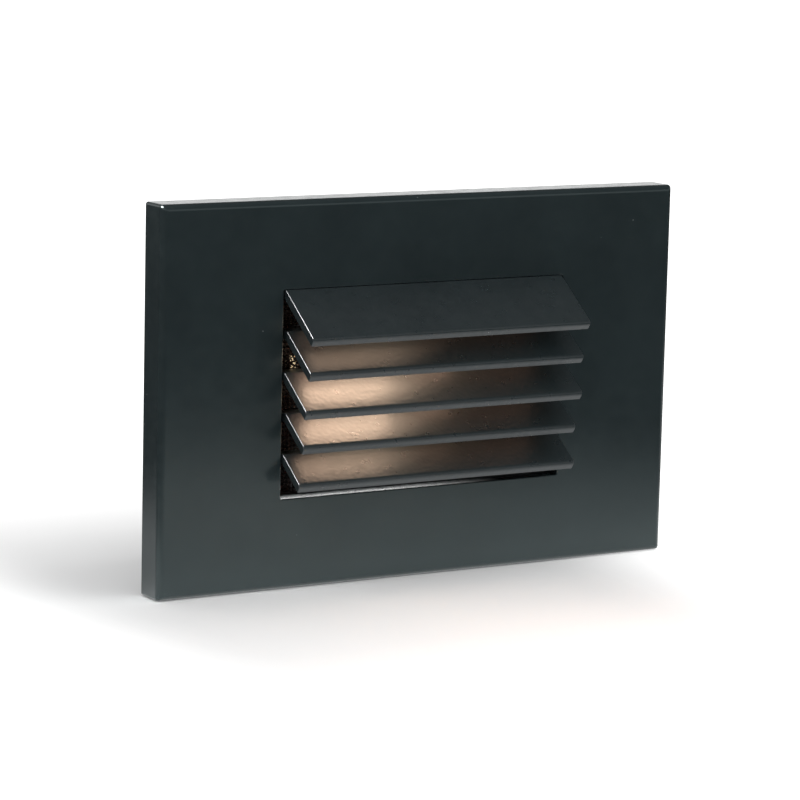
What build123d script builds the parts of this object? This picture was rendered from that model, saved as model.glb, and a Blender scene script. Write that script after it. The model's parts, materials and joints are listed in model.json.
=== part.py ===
"""Recessed louvred step light for a single electrical box laid on its side.

Millimetres. The origin is the centre of the wall plane: +X is right as seen from the front,
+Y runs into the wall and +Z is up, so the faceplate stands out towards -Y.
"""

import os
from math import cos, radians, sin, tan

from build123d import *

# ---------------------------------------------------------------- driving dimensions

# Faceplate: a die-cast pan with its open side against the wall
PLATE_WIDTH = 127.0
PLATE_HEIGHT = 82.5
PLATE_DEPTH = 7.5
PLATE_SKIN = 2.4
PLATE_RIM = 2.4
PLATE_CORNER_RADIUS = 0.6
PLATE_EDGE_ROUND = 1.4
WINDOW_WIDTH = 69.7
WINDOW_BORDER_Z = 19.05
WINDOW_RISE = 0.3
WINDOW_CORNER_RADIUS = 0.4
WINDOW_EDGE_ROUND = 0.25

# Foam ring that seals the pan to the wall, and the ledge that it is stuck to
WALL_GASKET_WIDTH = 3.0
WALL_GASKET_THICKNESS = 1.8

# Louvre: folded blades, shorter towards the bottom so that their noses lie on one slope
SLAT_COUNT = 5
SLAT_ANGLE = 36.0
SLAT_THICKNESS = 1.9
SLAT_TOP_GAP = 0.05
SLAT_BOTTOM_SILL = 0.85
SLAT_END_GAP = 0.15
SLAT_REACH_TOP = 12.15
SLAT_REACH_STEP = 1.16
SLAT_EVEN_END_TRIM = 0.45
SLAT_EVEN_REACH_TRIM = 0.4
SLAT_FOLD_ROUND = 0.4
SLAT_FOLD_FILLET = 0.6
SLAT_NOSE_ROUND = 0.9
SLAT_END_ROUND = 0.2
SLAT_TAB_LENGTH = 1.5
TAB_CLEARANCE = 0.05

# Frame that holds the blades' tabs behind the window
FRAME_THICKNESS = 1.7
FRAME_SIDE_LIP = 0.25
FRAME_SIDE_BAR = 2.6
FRAME_END_BAR = 2.4

# Lens and its two gaskets
LENS_THICKNESS = 2.3
LENS_SIDE_OVERLAP = 0.5
LENS_END_OVERLAP = 0.8
LENS_GASKET_THICKNESS = 0.6
LENS_GASKET_WIDTH = 1.2
LENS_CLEARANCE = 0.2
LENS_EDGE_CHAMFER = 0.2

# Rear housing: light chamber in front, driver compartment behind a middle wall
HOUSING_RIM_WALL = 1.3
HOUSING_RIM_GAP = 0.2
HOUSING_CORNER_RADIUS = 3.0
LENS_SEAT_WIDTH = 1.5
CHAMBER_DEPTH = 12.9
MIDDLE_WALL = 2.4
DRIVER_WALL = 2.2
DRIVER_DEPTH = 18.2
COVER_THICKNESS = 2.0
COVER_GASKET_THICKNESS = 0.6

# Ears that bolt the housing to bosses behind the faceplate
EAR_RADIUS = 3.0
EAR_THICKNESS = 2.2
EAR_WALL_GAP = 0.4
EAR_INSET = 8.6
EAR_STAND_OFF = 3.5

# Screws, by their nominal thread radius
M3_RADIUS = 1.5
M3_HEAD_RADIUS = 2.75
M3_HEAD_HEIGHT = 1.8
M3_SINK_RADIUS = 2.8
M3_SINK_DEPTH = 1.3
M25_RADIUS = 1.25
M25_HEAD_RADIUS = 2.2
M25_HEAD_HEIGHT = 1.6
DRIVE_DEPTH = 1.0
DRIVE_SHARE = 0.45
THREAD_END_GAP = 0.3
HOUSING_SCREW_LENGTH = 5.5
LIGHT_SCREW_LENGTH = 5.0
BOARD_SCREW_LENGTH = 4.0
COVER_SCREW_LENGTH = 8.0
COVER_POST_RADIUS = 3.2
COVER_POST_INSET_X = 5.6
COVER_POST_INSET_Z = 5.3

# Light engine
REFLECTOR_SHEET = 1.0
REFLECTOR_CLEARANCE = 0.2
REFLECTOR_FLOOR_HEIGHT = 22.0
REFLECTOR_SLOT_HEIGHT = 7.0
REFLECTOR_SLOT_MARGIN = 1.5
LED_BOARD_END_GAP = 2.8
LED_BOARD_HEIGHT = 22.0
LED_BOARD_THICKNESS = 1.6
THERMAL_PAD_END_GAP = 0.5
THERMAL_PAD_HEIGHT = 21.0
THERMAL_PAD_THICKNESS = 0.5
LED_COUNT = 6
LED_END_INSET = 5.0
LED_SIZE = 3.0
LED_HEIGHT = 0.7
LED_DOME_HEIGHT = 0.3
LIGHT_SCREW_INSET = 4.0
LIGHT_SCREW_SPACING_Z = 16.0

# Driver
DRIVER_BOARD_HEIGHT = 31.0
DRIVER_BOARD_THICKNESS = 1.6
DRIVER_POST_HEIGHT = 3.6
DRIVER_POST_RADIUS = 2.4
DRIVER_SCREW_INSET = 3.0
TRANSFORMER_SIZE = (17.0, 12.0, 11.0)
TRANSFORMER_COIL_SIZE = (11.0, 15.0, 8.0)
TRANSFORMER_CENTRE = (-1.0, 3.5)
CAPACITOR_RADIUS = 4.0
CAPACITOR_HEIGHT = 10.5
CAPACITOR_PLACES = [(-9.5, -10.0), (1.0, -10.0)]
CAPACITOR_EDGE = 0.5
RECTIFIER_SIZE = (4.0, 7.5, 4.5)
RECTIFIER_CENTRE = (11.5, 9.5)
CHOKE_RADIUS = 4.0
CHOKE_WINDING_RADIUS = 3.2
CHOKE_FLANGE = 1.2
CHOKE_HEIGHT = 7.5
CHOKE_CENTRE = (11.5, -9.5)
TERMINAL_SIZE = (7.0, 15.3, 10.0)
TERMINAL_INSET = 0.7
TERMINAL_POLE_PITCH = 5.0
TERMINAL_ENTRY_RADIUS = 1.4
TERMINAL_ENTRY_DEPTH = 6.0
CONNECTOR_SIZE = (6.0, 7.0, 5.6)
CONNECTOR_INSET = 5.0

# Leads between the driver and the light engine, and the bush that they pass through
WIRE_RADIUS = 0.6
WIRE_PITCH = 2.6
WIRE_HOLE_INSET = 2.5
WIRE_SIDE_GAP = 3.5
WIRE_BUSH_RADIUS = 2.8
WIRE_BUSH_FLANGE_RADIUS = 3.6
WIRE_BUSH_FLANGE = 0.8
WIRE_SOLDER_LENGTH = 0.6
WIRE_BEND_RADIUS = 3.6
BOARD_HOLE_CLEARANCE = 0.3

# Bush in the rear cover for the three supply leads
LEAD_BUSH_RADIUS = 5.0
LEAD_BUSH_FLANGE_RADIUS = 6.5
LEAD_BUSH_FLANGE = 1.5
LEAD_BORE_RADIUS = 1.4
LEAD_BORE_CIRCLE = 2.5
LEAD_COUNT = 3
LEAD_BUSH_X = -20.0

# Bracket that stays on the wall
BRACKET_WIDTH = 104.0
BRACKET_SHEET = 1.2
BRACKET_CLEARANCE = 0.35
BRACKET_LIP_WIDTH = 100.0
BRACKET_LIP_SKIN_GAP = 0.5
BRACKET_BEND_ROUND = 1.0
BRACKET_CORNER_RADIUS = 2.0
OPENING_CLEARANCE = 0.6
BOX_SCREW_SPACING = 83.34
BOX_SLOT_LENGTH = 6.0
BOX_SLOT_WIDTH = 4.0
CORNER_HOLE_RADIUS = 2.2
CORNER_HOLE_SPACING_X = 92.0
CORNER_HOLE_SPACING_Z = 54.0
GROUND_SCREW_RADIUS = 2.0
GROUND_HEAD_RADIUS = 3.6
GROUND_HEAD_HEIGHT = 2.4
GROUND_SCREW_PLACE = (-46.0, 13.0)

# Screws that clamp the faceplate to the bracket's lower lip
SET_SCREW_LENGTH = 5.0
SET_SCREW_SPACING = 90.0
SET_SCREW_TIP_GAP = 0.05
SET_SCREW_SEAT_WALL = 0.5
SET_SCREW_SOCKET_RADIUS = 0.85
SET_SCREW_SOCKET_DEPTH = 1.6

# ---------------------------------------------------------------- depths along Y

WALL_Y = 0.0
FRONT_Y = WALL_Y - PLATE_DEPTH
SKIN_BACK_Y = FRONT_Y + PLATE_SKIN
FRAME_BACK_Y = SKIN_BACK_Y + FRAME_THICKNESS
LENS_FRONT_Y = FRAME_BACK_Y + LENS_GASKET_THICKNESS
LENS_BACK_Y = LENS_FRONT_Y + LENS_THICKNESS
SEAT_Y = LENS_BACK_Y + LENS_GASKET_THICKNESS
MIDDLE_WALL_FRONT_Y = SEAT_Y + CHAMBER_DEPTH
MIDDLE_WALL_BACK_Y = MIDDLE_WALL_FRONT_Y + MIDDLE_WALL
LED_BOARD_BACK_Y = MIDDLE_WALL_FRONT_Y - THERMAL_PAD_THICKNESS
LED_BOARD_FRONT_Y = LED_BOARD_BACK_Y - LED_BOARD_THICKNESS
REFLECTOR_FLOOR_Y = LED_BOARD_FRONT_Y - REFLECTOR_SHEET
DRIVER_BOARD_FRONT_Y = MIDDLE_WALL_BACK_Y + DRIVER_POST_HEIGHT
DRIVER_BOARD_BACK_Y = DRIVER_BOARD_FRONT_Y + DRIVER_BOARD_THICKNESS
HOUSING_BACK_Y = MIDDLE_WALL_BACK_Y + DRIVER_DEPTH
COVER_FRONT_Y = HOUSING_BACK_Y + COVER_GASKET_THICKNESS
COVER_BACK_Y = COVER_FRONT_Y + COVER_THICKNESS
EAR_BACK_Y = WALL_Y - EAR_WALL_GAP
EAR_FRONT_Y = EAR_BACK_Y - EAR_THICKNESS
LEDGE_BACK_Y = WALL_Y - WALL_GASKET_THICKNESS
LIP_FRONT_Y = SKIN_BACK_Y + BRACKET_LIP_SKIN_GAP

# ---------------------------------------------------------------- widths and heights

PAN_WIDTH = PLATE_WIDTH - 2 * PLATE_RIM
PAN_HEIGHT = PLATE_HEIGHT - 2 * PLATE_RIM
LEDGE_WIDTH = PAN_WIDTH - 2 * WALL_GASKET_WIDTH
LEDGE_HEIGHT = PAN_HEIGHT - 2 * WALL_GASKET_WIDTH
WINDOW_HEIGHT = PLATE_HEIGHT - 2 * WINDOW_BORDER_Z
FRAME_OPENING_WIDTH = WINDOW_WIDTH - 2 * FRAME_SIDE_LIP
FRAME_OPENING_HEIGHT = WINDOW_HEIGHT
FRAME_WIDTH = FRAME_OPENING_WIDTH + 2 * FRAME_SIDE_BAR
FRAME_HEIGHT = FRAME_OPENING_HEIGHT + 2 * FRAME_END_BAR
LENS_WIDTH = FRAME_OPENING_WIDTH + 2 * LENS_SIDE_OVERLAP
LENS_HEIGHT = FRAME_OPENING_HEIGHT + 2 * LENS_END_OVERLAP
POCKET_WIDTH = LENS_WIDTH + 2 * LENS_CLEARANCE
POCKET_HEIGHT = LENS_HEIGHT + 2 * LENS_CLEARANCE
HOUSING_WIDTH = POCKET_WIDTH + 2 * HOUSING_RIM_WALL
HOUSING_HEIGHT = POCKET_HEIGHT + 2 * HOUSING_RIM_WALL
CHAMBER_WIDTH = POCKET_WIDTH - 2 * LENS_SEAT_WIDTH
CHAMBER_HEIGHT = POCKET_HEIGHT - 2 * LENS_SEAT_WIDTH
DRIVER_WIDTH = HOUSING_WIDTH - 2 * DRIVER_WALL
DRIVER_HEIGHT = HOUSING_HEIGHT - 2 * DRIVER_WALL
REFLECTOR_MOUTH_WIDTH = CHAMBER_WIDTH - 2 * REFLECTOR_CLEARANCE
REFLECTOR_MOUTH_HEIGHT = CHAMBER_HEIGHT - 2 * REFLECTOR_CLEARANCE
EAR_SPACING_X = HOUSING_WIDTH - 2 * EAR_INSET
EAR_SPACING_Z = HOUSING_HEIGHT + 2 * EAR_STAND_OFF
COVER_POST_SPACING_X = HOUSING_WIDTH - 2 * COVER_POST_INSET_X
COVER_POST_SPACING_Z = HOUSING_HEIGHT - 2 * COVER_POST_INSET_Z
BRACKET_HEIGHT = LEDGE_HEIGHT - 2 * BRACKET_CLEARANCE
BRACKET_OPENING_WIDTH = HOUSING_WIDTH + 2 * OPENING_CLEARANCE
BRACKET_OPENING_HEIGHT = EAR_SPACING_Z + 2 * (EAR_RADIUS + OPENING_CLEARANCE)
LED_BOARD_WIDTH = CHAMBER_WIDTH - 2 * LED_BOARD_END_GAP
WIRE_HOLE_X = LED_BOARD_WIDTH / 2 - WIRE_HOLE_INSET
REFLECTOR_FLOOR_WIDTH = 2 * (WIRE_HOLE_X - WIRE_SIDE_GAP)
THERMAL_PAD_WIDTH = REFLECTOR_FLOOR_WIDTH - 2 * THERMAL_PAD_END_GAP
LED_PITCH = (REFLECTOR_FLOOR_WIDTH - 2 * LED_END_INSET) / (LED_COUNT - 1)
LIGHT_SCREW_SPACING_X = REFLECTOR_FLOOR_WIDTH - 2 * LIGHT_SCREW_INSET
DRIVER_BOARD_WIDTH = 2 * (WIRE_HOLE_X - WIRE_SIDE_GAP)
DRIVER_SCREW_SPACING_X = DRIVER_BOARD_WIDTH - 2 * DRIVER_SCREW_INSET
DRIVER_SCREW_SPACING_Z = DRIVER_BOARD_HEIGHT - 2 * DRIVER_SCREW_INSET
TERMINAL_CENTRE = (TERMINAL_INSET + (TERMINAL_SIZE[0] - DRIVER_BOARD_WIDTH) / 2, 0.0)
CONNECTOR_CENTRE = ((DRIVER_BOARD_WIDTH - CONNECTOR_SIZE[0]) / 2 - CONNECTOR_INSET, 0.0)
SLAT_PITCH = (WINDOW_HEIGHT - SLAT_TOP_GAP - SLAT_BOTTOM_SILL) / SLAT_COUNT
SLAT_HALF_LENGTH = FRAME_OPENING_WIDTH / 2 - SLAT_END_GAP


def wall_plane(y):
    """Sketch plane parallel to the wall at depth y, with X right and Z up.

    Its normal points away from the wall, so extruding by a positive amount comes forward.
    """
    return Plane.XZ.offset(-y)


def slat_top(index):
    """Height of the top of a blade's root, counted from 0 at the uppermost blade."""
    return WINDOW_RISE + WINDOW_HEIGHT / 2 - SLAT_TOP_GAP - SLAT_PITCH * index


def sits_back(index):
    """Every second blade is a little shorter and stands a little further in."""
    return index % 2 == 1


def pan_head_screw(radius, length, head_radius, head_height, forward=True):
    """Screw at the current location, its head seated there and its shank pointing forward."""
    head_side = Align.MAX if forward else Align.MIN
    shank_side = Align.MIN if forward else Align.MAX
    Cylinder(radius, length, align=(Align.CENTER, Align.CENTER, shank_side))
    Cylinder(head_radius, head_height, align=(Align.CENTER, Align.CENTER, head_side))
    drive_shift = head_height if forward else -head_height
    with Locations((0, 0, -drive_shift)):
        Cylinder(
            head_radius * DRIVE_SHARE,
            DRIVE_DEPTH,
            align=(Align.CENTER, Align.CENTER, shank_side),
            mode=Mode.SUBTRACT,
        )


os.makedirs("parts", exist_ok=True)

# ---------------------------------------------------------------- faceplate

boss_hole_depth = HOUSING_SCREW_LENGTH - EAR_THICKNESS + THREAD_END_GAP
set_screw_y = LEDGE_BACK_Y - SET_SCREW_SEAT_WALL - M3_RADIUS
set_screw_hole_depth = (PLATE_HEIGHT - BRACKET_HEIGHT) / 2

with BuildPart() as faceplate:
    with BuildSketch(wall_plane(WALL_Y)):
        RectangleRounded(PLATE_WIDTH, PLATE_HEIGHT, PLATE_CORNER_RADIUS)
    extrude(amount=PLATE_DEPTH)
    front_face = faceplate.faces().sort_by(Axis.Y)[0]
    fillet(front_face.edges(), radius=PLATE_EDGE_ROUND)
    with BuildSketch(wall_plane(WALL_Y)):
        Rectangle(LEDGE_WIDTH, LEDGE_HEIGHT)
    extrude(amount=PLATE_DEPTH - PLATE_SKIN, mode=Mode.SUBTRACT)
    with BuildSketch(wall_plane(WALL_Y)):
        Rectangle(PAN_WIDTH, PAN_HEIGHT)
    extrude(amount=WALL_GASKET_THICKNESS, mode=Mode.SUBTRACT)
    with BuildSketch(wall_plane(SKIN_BACK_Y)):
        with Locations((0, WINDOW_RISE)):
            RectangleRounded(WINDOW_WIDTH, WINDOW_HEIGHT, WINDOW_CORNER_RADIUS)
    extrude(amount=PLATE_SKIN, mode=Mode.SUBTRACT)
    window_edges = faceplate.faces().sort_by(Axis.Y)[0].inner_wires().edges()
    fillet(window_edges, radius=WINDOW_EDGE_ROUND)
    with BuildSketch(wall_plane(EAR_FRONT_Y)):
        with GridLocations(EAR_SPACING_X, EAR_SPACING_Z, 2, 2):
            Circle(EAR_RADIUS)
    extrude(amount=EAR_FRONT_Y - SKIN_BACK_Y)
    with BuildSketch(wall_plane(EAR_FRONT_Y)):
        with GridLocations(EAR_SPACING_X, EAR_SPACING_Z, 2, 2):
            Circle(M3_RADIUS)
    extrude(amount=boss_hole_depth, mode=Mode.SUBTRACT)
    with BuildSketch(Plane.XY.offset(-PLATE_HEIGHT / 2)):
        with Locations((0, set_screw_y)):
            with GridLocations(SET_SCREW_SPACING, 0, 2, 1):
                Circle(M3_RADIUS)
    extrude(amount=set_screw_hole_depth, mode=Mode.SUBTRACT)
faceplate.part.label = "faceplate"
export_step(faceplate.part, "parts/faceplate.step")

# ---------------------------------------------------------------- wall gasket

with BuildPart() as wall_gasket:
    with BuildSketch(wall_plane(WALL_Y)):
        Rectangle(PAN_WIDTH, PAN_HEIGHT)
        Rectangle(LEDGE_WIDTH, LEDGE_HEIGHT, mode=Mode.SUBTRACT)
    extrude(amount=WALL_GASKET_THICKNESS)
wall_gasket.part.label = "wall_gasket"
export_step(wall_gasket.part, "parts/wall_gasket.step")

# ---------------------------------------------------------------- louvre blades

blade_drop = tan(radians(SLAT_ANGLE))
blade_normal = Vector(sin(radians(SLAT_ANGLE)), -cos(radians(SLAT_ANGLE)))

for index in range(SLAT_COUNT):
    node = f"louver_slat_{index + 1}"
    reach = SLAT_REACH_TOP - SLAT_REACH_STEP * index
    half_length = SLAT_HALF_LENGTH
    if sits_back(index):
        reach -= SLAT_EVEN_REACH_TRIM
        half_length -= SLAT_EVEN_END_TRIM
    top = slat_top(index)
    fold = Vector(FRONT_Y, top)
    nose_top = Vector(FRONT_Y - reach, top - reach * blade_drop)
    nose_bottom = nose_top + blade_normal * SLAT_THICKNESS
    underside_run = (nose_bottom.Y - (top - SLAT_THICKNESS)) / blade_drop
    inner_fold = Vector(nose_bottom.X - underside_run, top - SLAT_THICKNESS)
    with BuildPart() as louver_slat:
        with BuildSketch(Plane.YZ) as profile:
            with BuildLine():
                Polyline(
                    (FRAME_BACK_Y, top),
                    fold,
                    nose_top,
                    nose_bottom,
                    inner_fold,
                    (FRAME_BACK_Y, top - SLAT_THICKNESS),
                    close=True,
                )
            make_face()
            for corner, radius in (
                (fold, SLAT_FOLD_ROUND),
                (inner_fold, SLAT_FOLD_FILLET),
                (nose_top, SLAT_NOSE_ROUND),
            ):
                fillet(profile.vertices().sort_by_distance(corner)[0], radius=radius)
        extrude(amount=half_length, both=True)
        end_faces = louver_slat.faces().filter_by(Axis.X)
        fillet(end_faces.edges(), radius=SLAT_END_ROUND)
        with BuildSketch(wall_plane(FRAME_BACK_Y)):
            with Locations((0, top - SLAT_THICKNESS / 2)):
                Rectangle(2 * (SLAT_HALF_LENGTH + SLAT_TAB_LENGTH), SLAT_THICKNESS)
        extrude(amount=FRAME_THICKNESS)
    louver_slat.part.label = node
    export_step(louver_slat.part, f"parts/{node}.step")

# ---------------------------------------------------------------- louvre frame

notch_width = 2 * (SLAT_HALF_LENGTH + SLAT_TAB_LENGTH + TAB_CLEARANCE)

with BuildPart() as louver_frame:
    with BuildSketch(wall_plane(FRAME_BACK_Y)):
        Rectangle(FRAME_WIDTH, FRAME_HEIGHT)
        with Locations((0, WINDOW_RISE)):
            Rectangle(FRAME_OPENING_WIDTH, FRAME_OPENING_HEIGHT, mode=Mode.SUBTRACT)
        for index in range(SLAT_COUNT):
            with Locations((0, slat_top(index) - SLAT_THICKNESS / 2)):
                Rectangle(notch_width, SLAT_THICKNESS + 2 * TAB_CLEARANCE, mode=Mode.SUBTRACT)
    extrude(amount=FRAME_THICKNESS)
louver_frame.part.label = "louver_frame"
export_step(louver_frame.part, "parts/louver_frame.step")

# ---------------------------------------------------------------- lens and gaskets

with BuildPart() as lens:
    with BuildSketch(wall_plane(LENS_BACK_Y)):
        Rectangle(LENS_WIDTH, LENS_HEIGHT)
    extrude(amount=LENS_THICKNESS)
    chamfer(lens.faces().sort_by(Axis.Y)[0].edges(), length=LENS_EDGE_CHAMFER)
    chamfer(lens.faces().sort_by(Axis.Y)[-1].edges(), length=LENS_EDGE_CHAMFER)
lens.part.label = "lens"
export_step(lens.part, "parts/lens.step")

for node, back_y in (("lens_front_gasket", LENS_FRONT_Y), ("lens_rear_gasket", SEAT_Y)):
    with BuildPart() as lens_gasket:
        with BuildSketch(wall_plane(back_y)):
            Rectangle(LENS_WIDTH, LENS_HEIGHT)
            Rectangle(
                LENS_WIDTH - 2 * LENS_GASKET_WIDTH,
                LENS_HEIGHT - 2 * LENS_GASKET_WIDTH,
                mode=Mode.SUBTRACT,
            )
        extrude(amount=LENS_GASKET_THICKNESS)
    lens_gasket.part.label = node
    export_step(lens_gasket.part, f"parts/{node}.step")

# ---------------------------------------------------------------- rear housing

housing_front_y = FRAME_BACK_Y + HOUSING_RIM_GAP

with BuildPart() as rear_housing:
    with BuildSketch(wall_plane(HOUSING_BACK_Y)):
        RectangleRounded(HOUSING_WIDTH, HOUSING_HEIGHT, HOUSING_CORNER_RADIUS)
    extrude(amount=HOUSING_BACK_Y - housing_front_y)
    with BuildSketch(wall_plane(SEAT_Y)):
        Rectangle(POCKET_WIDTH, POCKET_HEIGHT)
    extrude(amount=SEAT_Y - housing_front_y, mode=Mode.SUBTRACT)
    with BuildSketch(wall_plane(MIDDLE_WALL_FRONT_Y)):
        Rectangle(CHAMBER_WIDTH, CHAMBER_HEIGHT)
    extrude(amount=CHAMBER_DEPTH, mode=Mode.SUBTRACT)
    with BuildSketch(wall_plane(HOUSING_BACK_Y)):
        Rectangle(DRIVER_WIDTH, DRIVER_HEIGHT)
    extrude(amount=DRIVER_DEPTH, mode=Mode.SUBTRACT)
    with BuildSketch(wall_plane(EAR_BACK_Y)):
        with GridLocations(EAR_SPACING_X, EAR_SPACING_Z, 2, 2):
            Circle(EAR_RADIUS)
        for side in (-1, 1):
            with Locations((0, side * (HOUSING_HEIGHT + EAR_STAND_OFF) / 2)):
                with GridLocations(EAR_SPACING_X, 0, 2, 1):
                    Rectangle(2 * EAR_RADIUS, EAR_STAND_OFF)
    extrude(amount=EAR_THICKNESS)
    with BuildSketch(wall_plane(HOUSING_BACK_Y)):
        with GridLocations(COVER_POST_SPACING_X, COVER_POST_SPACING_Z, 2, 2):
            Circle(COVER_POST_RADIUS)
    extrude(amount=DRIVER_DEPTH)
    with BuildSketch(wall_plane(DRIVER_BOARD_FRONT_Y)):
        with GridLocations(DRIVER_SCREW_SPACING_X, DRIVER_SCREW_SPACING_Z, 2, 2):
            Circle(DRIVER_POST_RADIUS)
    extrude(amount=DRIVER_POST_HEIGHT)
    with Locations(wall_plane(EAR_BACK_Y)):
        with GridLocations(EAR_SPACING_X, EAR_SPACING_Z, 2, 2):
            Cylinder(
                M3_RADIUS,
                EAR_THICKNESS,
                align=(Align.CENTER, Align.CENTER, Align.MIN),
                mode=Mode.SUBTRACT,
            )
            Cone(
                M3_SINK_RADIUS,
                M3_RADIUS,
                M3_SINK_DEPTH,
                align=(Align.CENTER, Align.CENTER, Align.MIN),
                mode=Mode.SUBTRACT,
            )
    with BuildSketch(wall_plane(HOUSING_BACK_Y)):
        with GridLocations(COVER_POST_SPACING_X, COVER_POST_SPACING_Z, 2, 2):
            Circle(M3_RADIUS)
    extrude(amount=COVER_SCREW_LENGTH, mode=Mode.SUBTRACT)
    with BuildSketch(wall_plane(DRIVER_BOARD_FRONT_Y)):
        with GridLocations(DRIVER_SCREW_SPACING_X, DRIVER_SCREW_SPACING_Z, 2, 2):
            Circle(M25_RADIUS)
    extrude(amount=DRIVER_POST_HEIGHT, mode=Mode.SUBTRACT)
    with BuildSketch(wall_plane(MIDDLE_WALL_BACK_Y)):
        with GridLocations(LIGHT_SCREW_SPACING_X, LIGHT_SCREW_SPACING_Z, 2, 2):
            Circle(M3_RADIUS)
        with Locations((WIRE_HOLE_X, 0)):
            Circle(WIRE_BUSH_RADIUS)
    extrude(amount=MIDDLE_WALL, mode=Mode.SUBTRACT)
rear_housing.part.label = "rear_housing"
export_step(rear_housing.part, "parts/rear_housing.step")

with BuildPart() as housing_screws:
    with Locations(wall_plane(EAR_BACK_Y)):
        with GridLocations(EAR_SPACING_X, EAR_SPACING_Z, 2, 2):
            Cylinder(
                M3_RADIUS,
                HOUSING_SCREW_LENGTH,
                align=(Align.CENTER, Align.CENTER, Align.MIN),
            )
            Cone(
                M3_SINK_RADIUS,
                M3_RADIUS,
                M3_SINK_DEPTH,
                align=(Align.CENTER, Align.CENTER, Align.MIN),
            )
            Cylinder(
                M3_SINK_RADIUS * DRIVE_SHARE,
                DRIVE_DEPTH,
                align=(Align.CENTER, Align.CENTER, Align.MIN),
                mode=Mode.SUBTRACT,
            )
housing_screws.part.label = "housing_screws"
export_step(housing_screws.part, "parts/housing_screws.step")

# ---------------------------------------------------------------- light engine

with BuildPart() as thermal_pad:
    with BuildSketch(wall_plane(MIDDLE_WALL_FRONT_Y)):
        Rectangle(THERMAL_PAD_WIDTH, THERMAL_PAD_HEIGHT)
        with GridLocations(LIGHT_SCREW_SPACING_X, LIGHT_SCREW_SPACING_Z, 2, 2):
            Circle(M3_RADIUS, mode=Mode.SUBTRACT)
    extrude(amount=THERMAL_PAD_THICKNESS)
thermal_pad.part.label = "thermal_pad"
export_step(thermal_pad.part, "parts/thermal_pad.step")

board_hole_height = WIRE_PITCH + 2 * (WIRE_RADIUS + BOARD_HOLE_CLEARANCE)

with BuildPart() as led_board:
    with BuildSketch(wall_plane(LED_BOARD_BACK_Y)):
        Rectangle(LED_BOARD_WIDTH, LED_BOARD_HEIGHT)
        with GridLocations(LIGHT_SCREW_SPACING_X, LIGHT_SCREW_SPACING_Z, 2, 2):
            Circle(M3_RADIUS, mode=Mode.SUBTRACT)
        with Locations((WIRE_HOLE_X, 0)):
            SlotOverall(
                board_hole_height,
                2 * (WIRE_RADIUS + BOARD_HOLE_CLEARANCE),
                rotation=90,
                mode=Mode.SUBTRACT,
            )
    extrude(amount=LED_BOARD_THICKNESS)
led_board.part.label = "led_board"
export_step(led_board.part, "parts/led_board.step")

with BuildPart() as led_chips:
    with BuildSketch(wall_plane(LED_BOARD_FRONT_Y)):
        with GridLocations(LED_PITCH, 0, LED_COUNT, 1):
            Rectangle(LED_SIZE, LED_SIZE)
    extrude(amount=LED_HEIGHT)
    with BuildSketch(wall_plane(LED_BOARD_FRONT_Y - LED_HEIGHT)):
        with GridLocations(LED_PITCH, 0, LED_COUNT, 1):
            Circle(LED_SIZE / 2 - LED_DOME_HEIGHT)
    extrude(amount=LED_DOME_HEIGHT)
led_chips.part.label = "led_chips"
export_step(led_chips.part, "parts/led_chips.step")

slot_width = LED_PITCH * (LED_COUNT - 1) + LED_SIZE + 2 * REFLECTOR_SLOT_MARGIN

with BuildPart() as reflector_tray:
    with BuildSketch(wall_plane(LED_BOARD_FRONT_Y)):
        Rectangle(
            REFLECTOR_FLOOR_WIDTH + 2 * REFLECTOR_SHEET,
            REFLECTOR_FLOOR_HEIGHT + 2 * REFLECTOR_SHEET,
        )
    with BuildSketch(wall_plane(SEAT_Y)):
        Rectangle(REFLECTOR_MOUTH_WIDTH, REFLECTOR_MOUTH_HEIGHT)
    loft(ruled=True)
    with BuildSketch(wall_plane(REFLECTOR_FLOOR_Y)):
        Rectangle(REFLECTOR_FLOOR_WIDTH, REFLECTOR_FLOOR_HEIGHT)
    with BuildSketch(wall_plane(SEAT_Y)):
        Rectangle(
            REFLECTOR_MOUTH_WIDTH - 2 * REFLECTOR_SHEET,
            REFLECTOR_MOUTH_HEIGHT - 2 * REFLECTOR_SHEET,
        )
    loft(ruled=True, mode=Mode.SUBTRACT)
    with BuildSketch(wall_plane(LED_BOARD_FRONT_Y)):
        Rectangle(slot_width, REFLECTOR_SLOT_HEIGHT)
        with GridLocations(LIGHT_SCREW_SPACING_X, LIGHT_SCREW_SPACING_Z, 2, 2):
            Circle(M3_RADIUS)
    extrude(amount=REFLECTOR_SHEET, mode=Mode.SUBTRACT)
reflector_tray.part.label = "reflector_tray"
export_step(reflector_tray.part, "parts/reflector_tray.step")

with BuildPart() as light_engine_screws:
    with Locations(wall_plane(REFLECTOR_FLOOR_Y)):
        with GridLocations(LIGHT_SCREW_SPACING_X, LIGHT_SCREW_SPACING_Z, 2, 2):
            pan_head_screw(
                M3_RADIUS, LIGHT_SCREW_LENGTH, M3_HEAD_RADIUS, M3_HEAD_HEIGHT, forward=False
            )
light_engine_screws.part.label = "light_engine_screws"
export_step(light_engine_screws.part, "parts/light_engine_screws.step")

# ---------------------------------------------------------------- driver board

with BuildPart() as driver_board:
    with BuildSketch(wall_plane(DRIVER_BOARD_BACK_Y)):
        Rectangle(DRIVER_BOARD_WIDTH, DRIVER_BOARD_HEIGHT)
        with GridLocations(DRIVER_SCREW_SPACING_X, DRIVER_SCREW_SPACING_Z, 2, 2):
            Circle(M25_RADIUS, mode=Mode.SUBTRACT)
    extrude(amount=DRIVER_BOARD_THICKNESS)
driver_board.part.label = "driver_board"
export_step(driver_board.part, "parts/driver_board.step")

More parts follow.
